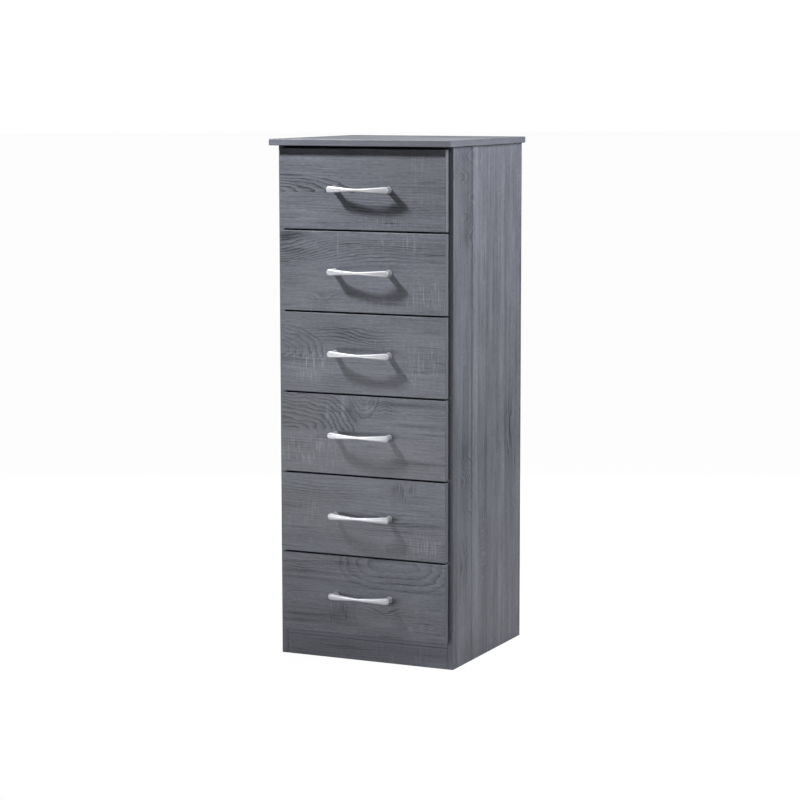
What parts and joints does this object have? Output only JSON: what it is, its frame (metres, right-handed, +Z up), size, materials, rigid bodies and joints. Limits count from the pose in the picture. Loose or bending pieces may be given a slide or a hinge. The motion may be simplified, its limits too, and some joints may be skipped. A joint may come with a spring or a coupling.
{
  "type": "tall chest of drawers",
  "caption": "Tall narrow chest: laminate carcass on a plinth, equal overlay drawer fronts with bow handles, drawers that slide out on roller runners.",
  "frame": {"origin": "on the floor, under the centre of the overall box", "axes": "+Z up, -Y the drawer fronts, +X the right-hand side seen from the front"},
  "size_m": [0.461, 0.4646, 1.22],
  "materials": {
    "laminate": "dark grey sawn-oak laminate, matt",
    "drawer_board": "pale grey foil on the drawer boards, matt",
    "hardboard": "thin hardboard, bare brown on the outside, grey paint on the inside",
    "runner_steel": "pale powder-coated pressed steel",
    "handle_metal": "satin silver plated zinc"
  },
  "bodies": {
    "carcass": {"top_panel": "laminate", "left_side_panel": "laminate", "right_side_panel": "laminate", "bottom_panel": "laminate", "plinth_front": "laminate", "plinth_rear": "laminate", "top_front_rail": "laminate", "top_rear_rail": "laminate", "middle_rail": "laminate", "back_panel": "hardboard", "drawer_1_left_runner": "runner_steel", "drawer_1_right_runner": "runner_steel", "drawer_2_left_runner": "runner_steel", "drawer_2_right_runner": "runner_steel", "drawer_3_left_runner": "runner_steel", "drawer_3_right_runner": "runner_steel", "drawer_4_left_runner": "runner_steel", "drawer_4_right_runner": "runner_steel", "drawer_5_left_runner": "runner_steel", "drawer_5_right_runner": "runner_steel", "drawer_6_left_runner": "runner_steel", "drawer_6_right_runner": "runner_steel"},
    "drawer_1": {"drawer_1_front": "laminate", "drawer_1_left_side": "drawer_board", "drawer_1_right_side": "drawer_board", "drawer_1_back": "drawer_board", "drawer_1_bottom": "hardboard", "drawer_1_handle": "handle_metal"},
    "drawer_2": {"drawer_2_front": "laminate", "drawer_2_left_side": "drawer_board", "drawer_2_right_side": "drawer_board", "drawer_2_back": "drawer_board", "drawer_2_bottom": "hardboard", "drawer_2_handle": "handle_metal"},
    "drawer_3": {"drawer_3_front": "laminate", "drawer_3_left_side": "drawer_board", "drawer_3_right_side": "drawer_board", "drawer_3_back": "drawer_board", "drawer_3_bottom": "hardboard", "drawer_3_handle": "handle_metal"},
    "drawer_4": {"drawer_4_front": "laminate", "drawer_4_left_side": "drawer_board", "drawer_4_right_side": "drawer_board", "drawer_4_back": "drawer_board", "drawer_4_bottom": "hardboard", "drawer_4_handle": "handle_metal"},
    "drawer_5": {"drawer_5_front": "laminate", "drawer_5_left_side": "drawer_board", "drawer_5_right_side": "drawer_board", "drawer_5_back": "drawer_board", "drawer_5_bottom": "hardboard", "drawer_5_handle": "handle_metal"},
    "drawer_6": {"drawer_6_front": "laminate", "drawer_6_left_side": "drawer_board", "drawer_6_right_side": "drawer_board", "drawer_6_back": "drawer_board", "drawer_6_bottom": "hardboard", "drawer_6_handle": "handle_metal"}
  },
  "joints": [
    {"name": "drawer_1_slide", "type": "slide", "parent": "carcass", "child": "drawer_1", "axis": [0, -1, 0], "range_m": [0, 0.26]},
    {"name": "drawer_2_slide", "type": "slide", "parent": "carcass", "child": "drawer_2", "axis": [0, -1, 0], "range_m": [0, 0.26]},
    {"name": "drawer_3_slide", "type": "slide", "parent": "carcass", "child": "drawer_3", "axis": [0, -1, 0], "range_m": [0, 0.26]},
    {"name": "drawer_4_slide", "type": "slide", "parent": "carcass", "child": "drawer_4", "axis": [0, -1, 0], "range_m": [0, 0.26]},
    {"name": "drawer_5_slide", "type": "slide", "parent": "carcass", "child": "drawer_5", "axis": [0, -1, 0], "range_m": [0, 0.26]},
    {"name": "drawer_6_slide", "type": "slide", "parent": "carcass", "child": "drawer_6", "axis": [0, -1, 0], "range_m": [0, 0.26]}
  ]
}
